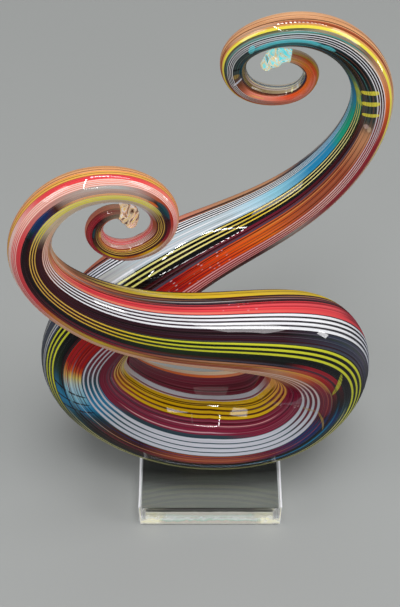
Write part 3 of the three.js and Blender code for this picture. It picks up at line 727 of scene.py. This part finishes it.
def angles_at(cane, place):
    """Low and high angle of a cane at a place along the rod."""
    back, bottom, front = cane["angles"]
    arm, side = (FRONT_ARM, front) if place > 0 else (BACK_ARM, back)
    shift = min(abs(place) / 1000 / shift_length(arm, bpy.context.scene.glass_sizes), 1.0)
    return [bottom[i] + (side[i] - bottom[i]) * shift for i in (0, 1)]


def patch_mask(place, cane, patch):
    """A soft leaning ellipse on a cane, or nothing if it doesn't reach that cane."""
    position, degrees, half_length, half_width, lean, _, strength = patch
    low, high = angles_at(cane, position)
    if degrees - half_width >= high or degrees + half_width <= low:
        return None
    width = high - low
    length_share = (ALONG_END - ALONG_START) / half_length
    offset = place.vector("SUBTRACT", (share_at(position), (degrees - low) / width, 0.0))
    along = offset.vector("DOT_PRODUCT", (length_share, -lean * width / half_length, 0.0))
    across = offset.vector("DOT_PRODUCT", (0.0, width / half_width, 0.0))
    reach = across * across
    if half_width > BLUNT_HALF_WIDTH:
        reach = reach * reach * reach
    return ((1.0 - along * along - reach) * (0.8 + 2 * strength)).clamped() * strength


def with_patches(glass, shade, place, cane, patches, cover=1.0):
    """Lays patches of colour, and painted reflections, on a cane; the cover says how much of them
    shows.
    """
    for patch in patches:
        mask = patch_mask(place, cane, patch)
        if mask:
            shade = glass.mix(mask * cover, shade, glass.paint(patch[5]))
    return shade


def cane_material(name, cane, number):
    """Striped, drawn glass of one cane or set, under a clear glossy skin, with painted reflections
    and a painted glow.
    """
    glass = GlassMaterial(name)
    place = glass.node("ShaderNodeUVMap", {"uv_map": "rod"}, ())
    along, across = place.axis(0), place.axis(1)
    streaks = drawn_streaks(glass, along, across, number * STREAK_STEP)
    dark, bright = fine_strands(glass, along, across, number * STRAND_STEP)
    shade = body_colours(glass, along, cane)
    shade = with_patches(glass, shade, place, cane, UNDER_COLOURS)
    paler = glass.mix(BRIGHT_STRAND_PALENESS, shade, glass.paint("pearl"))
    shade = glass.mix(bright * BRIGHT_STRANDS, shade, paler)
    darker = glass.mix(DARK_STRAND_DEPTH, shade, glass.paint("night"))
    shade = glass.mix(dark * DARK_STRANDS, shade, darker)
    if "threads" in cane:
        shade = with_threads(glass, shade, along, across, cane)
    shade = with_lines(glass, shade, along, across, streaks, cane.get("lines", ()))
    if "bubbles" in cane:
        shade = with_bubbles(glass, shade, along, across, cane["bubbles"])
    ends = abs(along - CANES_MIDDLE).fade(CANES_REACH, CANES_PALING)
    shade = glass.mix(ends * (streaks * 3.0 - 1.1).clamped(), shade, glass.paint("cream"))
    shade = glass.mix(STREAK_DEPTH, shade, 0.62 + streaks * 0.76, blend="MULTIPLY")
    # Painted reflections over the threads, showing most on bright strands and streaks.
    cover = 0.35 + bright + (streaks * 3.2 - 1.0).clamped() * 0.65 - dark * 0.5
    shade = with_patches(glass, shade, place, cane, PAINTED_REFLECTIONS, cover.clamped())
    # Painted glow: the cane gives off a share of its own colour as light.
    painted_glow = glass.mix(1.0, shade, (*[PAINTED_GLOW] * 3, 1.0), blend="MULTIPLY")
    ripples = glass.node(
        "ShaderNodeBump", {}, {"Strength": 0.06, "Distance": 0.0004, "Height": streaks})
    edge = glass.node("ShaderNodeLayerWeight", {}, {"Blend": 0.5}, output="Facing")
    surface = glass.node("ShaderNodeBsdfPrincipled", {}, {
        "Base Color": shade, "Roughness": 0.2 + streaks * 0.1, "Specular IOR Level": 0.0,
        "Emission Color": painted_glow, "Emission Strength": 1.0,
        "Coat Weight": 1.0 - edge * edge * edge * EDGE_GLOSS_LOSS, "Coat Roughness": 0.012,
        "Coat IOR": 1.5, "Normal": ripples})
    return glass.finish(surface)


def clear_material(name, tint, dimples, scale, colouring):
    """Clear refractive glass with a barely uneven surface and colours that show in it, with a
    painted glow.
    """
    glass = GlassMaterial(name)
    place = glass.node("ShaderNodeTexCoord", {}, (), output="Object")
    unevenness = glass.noise(place, scale)
    bump = glass.node(
        "ShaderNodeBump", {}, {"Strength": dimples, "Distance": 0.0005, "Height": unevenness})
    shade = glass.mix(unevenness, linear(tint) + [1.0], linear("ffffff") + [1.0])
    shade, factor, inner = colouring(glass, place, shade)
    clear = glass.node("ShaderNodeBsdfPrincipled", {}, {
        "Base Color": shade, "Roughness": 0.0, "IOR": 1.5, "Transmission Weight": 1.0,
        "Normal": bump})
    # Painted glow: the colours that show in the glass give off light of their own.
    coloured = glass.node("ShaderNodeBsdfPrincipled", {}, {
        "Base Color": inner, "Roughness": 0.15, "Emission Color": inner,
        "Emission Strength": 0.6, "Coat Weight": 1.0, "Coat Roughness": 0.01})
    return glass.finish(glass.node("ShaderNodeMixShader", {}, (factor, clear, coloured)))


def block_colouring(glass, place, shade):
    """Painted shade on the top and high in the sides, painted reflections on the front and back,
    pale edges.
    """
    across, depth, height = [place.axis(i) for i in range(3)]
    normal = glass.node("ShaderNodeNewGeometry", {}, (), output="Normal")
    sideways, forwards, upwards = [normal.axis(i) for i in range(3)]
    top = upwards.fade(0.75, 4.0)
    face = abs(forwards).fade(0.75, 4.0)
    # Painted shade: the top is darkened all over, and most under the rod.
    painted_rod_shadow = (depth * 190.0 + 3.5 - across * across * 500.0).clamped()
    shade = glass.mix((painted_rod_shadow * 0.5 + 0.3) * top, shade, glass.paint("night"))
    # Painted shade seen through the sides: a greener, darker tint above a height.
    high = height.fade(PAINTED_GREEN_SHADE_FROM, 900.0) * (1.0 - top)
    shade = glass.mix(high * PAINTED_GREEN_SHADE_STRENGTH, shade, glass.paint("olive"))
    # Painted reflections on the front and back: uneven bands low down, and bright corners with
    # painted sparkle.
    light = glass.noise(place, 420.0)
    rise = height * 1000.0 + (light - 0.5) * 5.0 + across * across * 2500.0
    bands = glass.ramp(
        rise * 0.1, "0.1 silver, 0.2 clay, 0.36 clay, 0.44 green, 0.6 frost, 0.7 olive")
    corner = abs(across).fade(CORNERS_FROM, 400.0)
    sparkle = glass.mix(light, glass.paint("straw"), glass.paint("white"))
    inner = glass.mix(face, glass.paint("white"), glass.mix(corner, bands, sparkle))
    low = rise.fade(8.0, -0.5) * height.fade(BANDS_FROM, 900.0) * face
    # Pale ground edges, which also carry the painted glow of the coloured layer.
    edge = abs(sideways).fade(0.125, 8.0) * abs(sideways).fade(0.97, -40.0)
    bright_bands = low * (BAND_STRENGTH + corner * CORNER_STRENGTH)
    factor = (edge * EDGE_STRENGTH).math("MAXIMUM", bright_bands)
    return shade, factor, inner


def tip_colouring(glass, place, shade):
    """Colours of the canes gathered in the clear ends, blue-green behind and brown in front, with
    painted white glints.
    """
    drawn = glass.node("ShaderNodeMapping", {}, {"Vector": place, "Scale": (420.0, 260.0, 300.0)})
    swirl = glass.noise(drawn, detail=3.0, Distortion=1.2)
    back = glass.ramp(
        swirl, "0.34 petrol, 0.4 aqua, 0.47 white, 0.5 gold, 0.53 cream, 0.62 aqua")
    front = glass.ramp(
        swirl, "0.34 umber, 0.4 copper, 0.47 white, 0.5 gold, 0.54 cream, 0.62 umber")
    inner = glass.mix(place.axis(1) > 0.0, front, back)
    return shade, swirl * 0.3 + 0.6, inner


def film_colouring(glass, place, shade):
    """Painted view of the rod's colours seen through the adhesive, as streaks."""
    drawn = glass.node("ShaderNodeMapping", {}, {"Vector": place, "Scale": (60.0, 900.0, 900.0)})
    streaks = glass.noise(drawn)
    inner = glass.ramp(streaks, "0.38 maroon, 0.46 rust, 0.52 straw, 0.6 green")
    return shade, streaks * 0.5 + 0.25, inner


def floor_material():
    """Plain pale matt floor with faint cloudiness and fine grain."""
    glass = GlassMaterial("pale_floor")
    place = glass.node("ShaderNodeTexCoord", {}, (), output="Object")
    clouds = glass.noise(place, 4.0, 3.0)
    grain = glass.noise(place, 900.0, 1.0)
    shade = glass.mix(1.0, glass.paint("floor"), 0.95 + clouds * 0.07 + grain * 0.02, "MULTIPLY")
    surface = glass.node("ShaderNodeBsdfPrincipled", {}, {
        "Base Color": shade, "Roughness": 0.6 + grain * 0.1, "IOR": 1.45})
    return glass.finish(surface)


class SmoothCurve:
    """Natural cubic spline through stations of position and diameter."""

    def __init__(self, stations):
        self.stations = stations
        self.knots = [0.0]
        for a, b in zip(stations, stations[1:]):
            self.knots.append(self.knots[-1] + (b.xyz - a.xyz).length)
        self.bends = self.solve()

    def solve(self):
        stations, knots = self.stations, self.knots
        slopes = [(stations[i + 1] - stations[i]) / (knots[i + 1] - knots[i])
                  for i in range(len(stations) - 1)]
        bends = [Vector((0, 0, 0, 0)) for _ in stations]
        weights = [0.0] * len(stations)
        for i in range(1, len(stations) - 1):
            before = knots[i] - knots[i - 1]
            after = knots[i + 1] - knots[i]
            pivot = 2 * (before + after) - before * weights[i - 1]
            weights[i] = after / pivot
            bends[i] = ((slopes[i] - slopes[i - 1]) * 6 - bends[i - 1] * before) / pivot
        for i in range(len(stations) - 2, 0, -1):
            bends[i] -= bends[i + 1] * weights[i]
        return bends

    def at(self, value):
        i = 0
        while i < len(self.knots) - 2 and value > self.knots[i + 1]:
            i += 1
        span = self.knots[i + 1] - self.knots[i]
        b = (value - self.knots[i]) / span
        a = 1 - b
        return (self.stations[i] * a + self.stations[i + 1] * b
                + self.bends[i] * ((a ** 3 - a) * span ** 2 / 6)
                + self.bends[i + 1] * ((b ** 3 - b) * span ** 2 / 6))


class Section:
    """A cut across the rod: where it is, which way it faces and how its canes lie."""

    def __init__(self, along, station, direction, striped):
        self.along = along
        self.centre = station.xyz
        self.radius = station.w / 2
        self.direction = direction
        self.striped = striped

    def point(self, degrees, share):
        angle = math.radians(degrees)
        way = self.outward * math.cos(angle) + self.forward * math.sin(angle)
        return self.centre + way * (share * self.radius)

    def edge(self, cane, end):
        back, bottom, front = cane["angles"]
        arm = front if self.arm is FRONT_ARM else back
        return self.twist + bottom[end] + (arm[end] - bottom[end]) * self.shift


def shift_length(arm, sizes):
    """How far along an arm the canes have moved from the loop's angles to the arm's own."""
    return (2 * arm["loop"][2] * sizes.curl_height + arm["loop"][0] * sizes.loop_width
            + arm["crossing"][1] * sizes.curl_depth)


def twist_at(twists, share):
    """Smooth curve through an arm's twists."""
    i = 0
    while i < len(twists) - 2 and share > twists[i + 1][0]:
        i += 1

    def slope(k):
        if k in (0, len(twists) - 1):
            return 0.0
        return (twists[k + 1][1] - twists[k - 1][1]) / (twists[k + 1][0] - twists[k - 1][0])

    span = twists[i + 1][0] - twists[i][0]
    t = (share - twists[i][0]) / span
    rest = 1 - t
    ends = twists[i][1] * rest * rest * (1 + 2 * t) + twists[i + 1][1] * t * t * (1 + 2 * rest)
    return ends + span * t * rest * (slope(i) * rest - slope(i + 1) * t)


class Rod:
    """The bent rod with its sections from the back curl's tip to the front curl's tip."""

    def __init__(self, sizes):
        self.sizes = sizes
        self.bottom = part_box("adhesive_film")[1].z + FILM_CLEARANCE + sizes.rod_diameter / 2
        back = self.arm_stations(BACK_ARM)[::-1]
        middle = Vector((0, 0, self.bottom, sizes.rod_diameter))
        self.curve = SmoothCurve(back + [middle] + self.arm_stations(FRONT_ARM))
        self.middle = self.curve.knots[len(back)]
        front_half = self.half(FRONT_ARM, self.curve.knots[-1])
        back_half = self.half(BACK_ARM, self.curve.knots[0])
        for section in back_half:
            section.direction.negate()
            section.along = -section.along
        self.sections = back_half[:0:-1] + front_half
        for section in self.sections:
            section.forward = section.outward.cross(section.direction).normalized()

    def station(self, arm, reach, depth, rise, diameter):
        sizes = self.sizes
        return Vector((
            arm["facing"] * reach * sizes.loop_width,
            -arm["facing"] * depth * sizes.curl_depth,
            self.bottom + rise * sizes.curl_height,
            diameter))

    def arm_stations(self, arm):
        sizes = self.sizes
        reach, _, rise, diameter = arm["loop"]
        low = diameter + (sizes.rod_diameter - diameter) * LOW_SIDE_FULLNESS
        stations = [
            self.station(arm, reach * math.sin(LOW_SIDE_ANGLE), 0,
                         rise * (1 - math.cos(LOW_SIDE_ANGLE)), low)]
        for place in ("loop", "shoulder", "crossing", "arm"):
            stations.append(self.station(arm, *arm[place]))
        curl_reach, curl_depth, curl_rise, curl_diameter = arm["curl"]
        for i in range(CURL_STATIONS + 1):
            turns = arm["curl_turns"] * i / CURL_STATIONS
            angle = 2 * math.pi * turns
            radius = arm["curl_radius"] * arm["curl_shrink"] ** turns
            sideways = radius * math.cos(angle)
            upwards = arm["curl_squash"] * radius * math.sin(angle)
            stations.append(self.station(
                arm,
                -curl_reach - sideways / sizes.loop_width,
                curl_depth + arm["curl_lean"] * sideways / sizes.curl_depth
                + arm["curl_drift"] * turns,
                curl_rise + upwards / sizes.curl_height,
                curl_diameter * arm["curl_thinning"] ** turns))
        return stations

    def half(self, arm, end):
        """Sections from the bottom of the loop to one tip, closer where the rod bends more."""
        curve, sizes = self.curve, self.sizes
        total = abs(end - self.middle)
        step = (end - self.middle) / PATH_SAMPLES

        def direction(value):
            return (curve.at(value + step / 2).xyz - curve.at(value - step / 2).xyz).normalized()

        def section(value, along):
            return Section(
                along, curve.at(value), direction(value), along <= total - arm["bare_length"])

        sections = [section(self.middle, 0.0)]
        for i in range(1, PATH_SAMPLES + 1):
            value = self.middle + i * step
            along = i * total / PATH_SAMPLES
            last = sections[-1]
            turned = last.direction.angle(direction(value), 0.0)
            far = along - last.along > sizes.step_length or turned > sizes.step_turn
            canes_end = last.striped and along + abs(step) > total - arm["bare_length"]
            if far or canes_end or i == PATH_SAMPLES:
                sections.append(section(value, along))
        self.carry_outward(sections)
        for item in sections:
            item.arm = arm
            item.shift = min(item.along / shift_length(arm, sizes), 1.0)
            item.twist = twist_at(arm["twists"], item.along / total)
        return sections

    def carry_outward(self, sections):
        """Carries the outward direction along without spin, by two reflections a step."""
        sections[0].outward = Vector((0, 0, -1))
        for before, after in zip(sections, sections[1:]):
            chord = (after.centre - before.centre).normalized()
            reflected = before.direction - chord * (2 * before.direction.dot(chord))
            outward = before.outward - chord * (2 * before.outward.dot(chord))
            normal = (after.direction - reflected).normalized()
            after.outward = (outward - normal * (2 * outward.dot(normal))).normalized()


def new_object(name, vertices, faces, material):
    mesh = bpy.data.meshes.new(name)
    mesh.from_pydata(vertices, [], faces)
    mesh.materials.append(material)
    piece = bpy.data.objects.new(name, mesh)
    bpy.context.scene.collection.objects.link(piece)
    return piece


def ring_faces(rings, size):
    """Quads between equal rings of points and a fan over both ends."""
    faces = []
    for r in range(rings - 1):
        for i in range(size):
            a = r * size + i
            b = r * size + (i + 1) % size
            faces.append((a, b, b + size, a + size))
    last = (rings - 1) * size
    faces.append(tuple(range(size - 1, -1, -1)))
    faces.append(tuple(range(last, last + size)))
    return faces


def cane_piece(node, rod, cane, lane, lanes, material):
    """One cane as a closed strip of the rod's outer layer, smooth with its neighbours."""
    sections = [s for s in rod.sections if s.striped]
    width = max(abs(b - a) for a, b in cane["angles"]) / lanes
    chords = max(2, math.ceil(width / DEGREES_A_CHORD))
    inner_share = 1 - rod.sizes.cane_thickness
    size = 2 * (chords + 1)
    order = [*range(chords + 1), *range(chords, -1, -1)]
    vertices, shares, normals = [], [], []
    for section in sections:
        low, high = section.edge(cane, 0), section.edge(cane, 1)
        start = low + (high - low) * lane / lanes
        stop = low + (high - low) * (lane + 1) / lanes
        along = share_at(section.along * 1000)
        for k, i in enumerate(order):
            degrees = start + (stop - start) * i / chords
            vertices.append(section.point(degrees, 1.0 if k <= chords else inner_share))
            normals.append((vertices[-1] - section.centre).normalized())
            shares.append((along, (lane + i / chords) / lanes))
    piece = new_object(node, vertices, ring_faces(len(sections), size), material)
    face_outwards(piece)
    mesh = piece.data
    layer = mesh.uv_layers.new(name="rod")
    for loop in mesh.loops:
        layer.data[loop.index].uv = shares[loop.vertex_index]
    for polygon in mesh.polygons:
        polygon.use_smooth = True
    set_normals(mesh, normals, size, chords)
    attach(piece, "root")
    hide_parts(node)
    return piece


def set_normals(mesh, normals, size, chords):
    """Outer faces turn with the rod's roundness; the hidden sides and ends stay flat."""
    custom = []
    for polygon in mesh.polygons:
        outer = len(polygon.vertices) == 4 and all(v % size <= chords for v in polygon.vertices)
        for v in polygon.vertices:
            custom.append(normals[v] if outer else polygon.normal)
    mesh.normals_split_custom_set(custom)


def face_outwards(piece):
    mesh = bmesh.new()
    mesh.from_mesh(piece.data)
    bmesh.ops.recalc_face_normals(mesh, faces=mesh.faces)
    mesh.to_mesh(piece.data)
    mesh.free()


def bell(value, height, centre, spread):
    return height * math.exp(-((value - centre) / spread) ** 2)


class GLASS_OT_core(bpy.types.Operator):
    """Makes the clear core with its two bare, swollen tips"""

    bl_idname = "glass.core"
    bl_label = "Clear core"

    def execute(self, context):
        rod = Rod(context.scene.glass_sizes)
        slim = 1 - rod.sizes.cane_thickness - SEAM_SHARE
        striped = [i for i, section in enumerate(rod.sections) if section.striped]
        back, front = rod.sections[0], rod.sections[-1]
        rings = self.dome(back, -1)[::-1]
        rings += [self.ring(s, self.tip_share(s, back)) for s in rod.sections[:striped[0] + 1]]
        rings += [self.ring(rod.sections[i], slim) for i in striped]
        rings += [self.ring(s, self.tip_share(s, front)) for s in rod.sections[striped[-1]:]]
        rings += self.dome(front, 1)
        vertices = [point for ring in rings for point in ring]
        material = clear_material("core_glass", "e6f0ee", 1.0, 300.0, tip_colouring)
        piece = new_object(
            "clear_core", vertices, ring_faces(len(rings), CORE_SIDES), material)
        face_outwards(piece)
        for polygon in piece.data.polygons:
            polygon.use_smooth = True
        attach(piece, "root")
        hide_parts("clear_core")
        return {"FINISHED"}

    def ring(self, section, share):
        return [section.point(360 * i / CORE_SIDES, share) for i in range(CORE_SIDES)]

    def tip_share(self, section, tip):
        """Share of the radius of a bare tip: swollen behind its end, with a slight neck."""
        behind = abs(section.along - tip.along)
        return 1.0 - bell(behind, *TIP_NECK) + bell(behind, *TIP_SWELL)

    def dome(self, section, way):
        rings = []
        for i in range(1, TIP_DOME_RINGS + 1):
            angle = i / (TIP_DOME_RINGS + 1) * math.pi / 2
            shift = section.direction * (way * math.sin(angle) * section.radius)
            share = self.tip_share(section, section) * math.cos(angle)
            rings.append([p + shift for p in self.ring(section, share)])
        return rings


def build_canes(context, threads):
    """Makes either the sets of threads or the ribbons between them."""
    rod = Rod(context.scene.glass_sizes)
    for number, (name, cane) in enumerate(CANES.items()):
        if ("threads" in cane) is not threads:
            continue
        finish = name.rsplit("_", 1)[0] + "_glass"
        material = cane_material(finish, cane, number)
        lanes = cane.get("threads", 1)
        for lane in range(lanes):
            node = f"{name}_{lane + 1}" if threads else name
            piece = cane_piece(node, rod, cane, lane, lanes, material)


class GLASS_OT_ribbons(bpy.types.Operator):
    """Makes the wide coloured ribbons laid along the rod"""

    bl_idname = "glass.ribbons"
    bl_label = "Coloured ribbons"

    def execute(self, context):
        build_canes(context, threads=False)
        return {"FINISHED"}


class GLASS_OT_threads(bpy.types.Operator):
    """Makes the sets of fine white and yellow threads"""

    bl_idname = "glass.threads"
    bl_label = "Fine threads"

    def execute(self, context):
        build_canes(context, threads=True)
        return {"FINISHED"}


class GLASS_OT_block(bpy.types.Operator):
    """Makes the clear base block with its narrow ground edges"""

    bl_idname = "glass.block"
    bl_label = "Base block"

    def execute(self, context):
        low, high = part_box("base_block")
        mesh = bmesh.new()
        bmesh.ops.create_cube(mesh, size=1.0)
        for vertex in mesh.verts:
            vertex.co = Vector([low[i] + (high[i] - low[i]) * (vertex.co[i] + 0.5)
                                for i in range(3)])
        bmesh.ops.bevel(
            mesh, geom=mesh.edges[:] + mesh.verts[:], offset=context.scene.glass_sizes.block_edge,
            segments=3, profile=0.5, affect="EDGES")
        material = clear_material("block_glass", "f6f9f6", 0.02, 120.0, block_colouring)
        piece = new_object("base_block", [], [], material)
        mesh.to_mesh(piece.data)
        mesh.free()
        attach(piece, "root")
        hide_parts("base_block")
        return {"FINISHED"}


class GLASS_OT_film(bpy.types.Operator):
    """Makes the thin set adhesive between the block and the rod"""

    bl_idname = "glass.film"
    bl_label = "Adhesive film"

    def execute(self, context):
        low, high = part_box("adhesive_film")
        sides = context.scene.glass_sizes.film_sides
        thickness = high.z - low.z
        turns = [2 * math.pi * i / sides for i in range(sides)]
        rim = [(0.965, 0.0), (0.99, 0.2), (1.0, 0.5), (0.985, 0.8), (0.95, 1.0), (0.6, 0.96)]
        points = [(high.x * share * math.cos(turn), high.y * share * math.sin(turn),
                   low.z + thickness * rise)
                  for share, rise in rim for turn in turns]
        material = clear_material("film_adhesive", "f4f6f4", 0.1, 500.0, film_colouring)
        piece = new_object("adhesive_film", points, ring_faces(len(rim), sides), material)
        face_outwards(piece)
        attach(piece, "root")
        piece.visible_shadow = False
        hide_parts("adhesive_film")
        return {"FINISHED"}


def area_light(name, place, target, size, power, shade=PLAIN_WHITE):
    light = bpy.data.lights.new(name, "AREA")
    light.shape = "RECTANGLE"
    light.size, light.size_y = size
    light.energy = power
    light.color = shade
    lamp = bpy.data.objects.new(name, light)
    lamp.location = place
    lamp.rotation_euler = (Vector(target) - Vector(place)).to_track_quat("-Z", "Y").to_euler()
    bpy.context.scene.collection.objects.link(lamp)
    return lamp


class GLASS_OT_stage(bpy.types.Operator):
    """Makes the floor, the studio lights and the camera"""

    bl_idname = "glass.stage"
    bl_label = "Stage"

    def execute(self, context):
        corners = [(x * FLOOR_REACH, y * FLOOR_REACH, -FLOOR_DROP)
                   for x, y in ((-1, -1), (1, -1), (1, 1), (-1, 1))]
        floor = new_object("floor", corners, [(0, 1, 2, 3)], floor_material())
        floor.visible_glossy = False
        self.lights()
        self.world(context)
        self.camera(context)
        return {"FINISHED"}

    def lights(self):
        for name, (place, size, power, shade, hidden_from) in LIGHTS.items():
            light = area_light(name, place, LIGHT_AIM, size, power, shade)
            if hidden_from:
                setattr(light, hidden_from, False)
        self.catch_light()

    def catch_light(self):
        """A frame of small lamps that only shows in the gloss, dimmer towards the right."""
        left, right, near, far, height = -0.095, 0.2, -0.45, 0.0, 0.46
        bright_end = 0.03
        columns = [left + 0.025 + 0.0205 * i for i in range(13)]
        places = [(x, y) for x in columns for y in (near, far)]
        places += [(x, near + 0.045 * i) for i in range(1, 10) for x in (left, right)]
        for x, y in places:
            dim = DIM_ROW_WATTS if y in (near, far) else DIM_SIDE_WATTS
            power = LAMP_WATTS if x < bright_end else dim
            lamp = area_light("lamp", (x, y, height), (x, y, 0), LAMP_SIZE, power)
            lamp.visible_diffuse = False

    def world(self, context):
        world = bpy.data.worlds.new("studio")
        world.use_nodes = True
        background = world.node_tree.nodes["Background"]
        background.inputs["Color"].default_value = WORLD_COLOUR
        background.inputs["Strength"].default_value = WORLD_STRENGTH
        context.scene.world = world

    def camera(self, context):
        data = bpy.data.cameras.new("camera")
        data.lens = CAMERA_LENS
        camera = bpy.data.objects.new("camera", data)
        camera.location = CAMERA_PLACE
        camera.rotation_euler = (CAMERA_TILT, 0.0, 0.0)
        context.scene.collection.objects.link(camera)
        context.scene.camera = camera
        context.scene.view_settings.view_transform = "Standard"


class GLASS_PT_sidebar(bpy.types.Panel):
    bl_label = "Glass sculpture"
    bl_idname = "GLASS_PT_sidebar"
    bl_space_type = "VIEW_3D"
    bl_region_type = "UI"
    bl_category = "Glass"

    def draw(self, context):
        for operator in OPERATORS:
            self.layout.operator(operator.bl_idname)
        for group in (context.scene.glass_sizes, context.scene.glass_colours):
            column = self.layout.column()
            for name in group.__annotations__:
                column.prop(group, name)


OPERATORS = (
    GLASS_OT_core,
    GLASS_OT_ribbons,
    GLASS_OT_threads,
    GLASS_OT_block,
    GLASS_OT_film,
    GLASS_OT_stage,
)
CLASSES = (GlassSizes, GlassColours, *OPERATORS, GLASS_PT_sidebar)


def register():
    for item in CLASSES:
        bpy.utils.register_class(item)
    bpy.types.Scene.glass_sizes = PointerProperty(type=GlassSizes)
    bpy.types.Scene.glass_colours = PointerProperty(type=GlassColours)


def unregister():
    del bpy.types.Scene.glass_colours
    del bpy.types.Scene.glass_sizes
    for item in reversed(CLASSES):
        bpy.utils.unregister_class(item)


def main():
    register()
    for operator in OPERATORS:
        group, name = operator.bl_idname.split(".")
        getattr(getattr(bpy.ops, group), name)()


if __name__ == "__main__":
    main()
